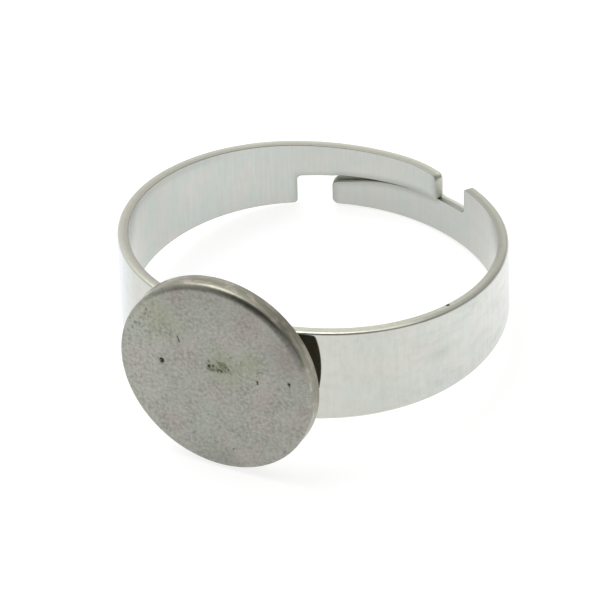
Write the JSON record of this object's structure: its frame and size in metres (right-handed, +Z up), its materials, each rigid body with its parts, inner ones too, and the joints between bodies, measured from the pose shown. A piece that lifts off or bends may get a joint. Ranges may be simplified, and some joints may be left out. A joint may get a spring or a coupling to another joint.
{
  "type": "ring blank",
  "caption": "Adjustable finger ring blank: a flat strip bent to an oval ring with overlapping end tongues and a round flat pad to glue a cabochon on.",
  "frame": {"origin": "middle of the box's base, on the surface that the ring lies on by itself, on its side", "axes": "+Z up. The pad is at the front, towards -Y. +X runs across the finger. The finger hole's axis leans from +Z towards +Y by about 11.5 degrees, because the pad's lower back edge and the strip's rear lower edge both rest on the surface."},
  "size_m": [0.0188, 0.0192, 0.0099],
  "materials": {
    "ring_metal": "bright rolled strip, matt stamped pad with a darker spot-weld mark"
  },
  "bodies": {
    "root": {"ring_blank": "ring_metal"}
  },
  "joints": []
}
